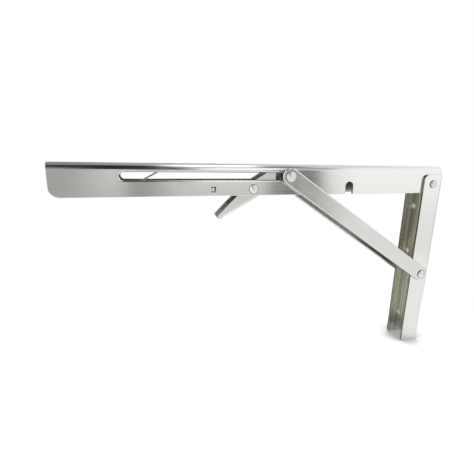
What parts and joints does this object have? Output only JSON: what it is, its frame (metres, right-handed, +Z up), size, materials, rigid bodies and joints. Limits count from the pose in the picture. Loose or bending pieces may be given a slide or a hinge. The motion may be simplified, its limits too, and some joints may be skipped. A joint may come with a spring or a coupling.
{
  "type": "drop leaf table bracket",
  "caption": "Folding triangular wall bracket of folded steel sheet: a channel arm held level by two strut bars and a sliding pin, with a sprung release lever that lets the arm fold down flat.",
  "frame": {"origin": "centre of the wall plate's back face, which lies on the wall", "axes": "+X into the wall, Y across the bracket from the near side to the far side, +Z up; the arm reaches to -X"},
  "size_m": [0.4, 0.0356, 0.213],
  "materials": {
    "brushed_sheet": "satin brushed stainless sheet",
    "polished_rivet": "polished domed head",
    "turned_bush": "turned",
    "spring_wire": "drawn wire"
  },
  "bodies": {
    "wall_mount": {"wall_plate": "brushed_sheet", "arm_pivot_rivet": "polished_rivet", "strut_pivot_rivet": "polished_rivet"},
    "arm": {"shelf_arm": "brushed_sheet", "lever_pivot_rivet": "polished_rivet", "lever_spring": "spring_wire", "hold_spring": "spring_wire"},
    "strut": {"near_strut_bar": "brushed_sheet", "far_strut_bar": "brushed_sheet", "near_pin_head": "polished_rivet", "far_pin_head": "polished_rivet"},
    "slide_pin": {"near_slide_stud": "polished_rivet", "far_slide_stud": "polished_rivet", "near_slide_bush": "turned_bush", "far_slide_bush": "turned_bush"},
    "lever": {"release_lever": "brushed_sheet"}
  },
  "joints": [
    {"name": "arm_fold", "type": "hinge", "parent": "wall_mount", "child": "arm", "pos_m": [-0.0124, 0, 0.0917], "axis": [0, -1, 0], "range_deg": [0, 90]},
    {"name": "strut_swing", "type": "hinge", "parent": "wall_mount", "child": "strut", "pos_m": [-0.0124, 0, -0.0135], "axis": [0, -1, 0], "range_deg": [0, 121]},
    {"name": "pin_slide", "type": "slide", "parent": "arm", "child": "slide_pin", "axis": [-1, 0, 0], "range_m": [0, 0.1388]},
    {"name": "lever_press", "type": "hinge", "parent": "arm", "child": "lever", "pos_m": [-0.2224, 0, 0.0879], "axis": [0, 1, 0], "range_deg": [0, 25], "stiffness_Nm_per_rad": 0.05, "springref_deg": -17.19, "deforming": ["lever_spring"]}
  ],
  "couplings": [
    {"joint": "strut_swing", "follows": "arm_fold", "ratio": 1.343},
    {"joint": "pin_slide", "follows": "arm_fold", "m_per_rad": 0.08834}
  ]
}
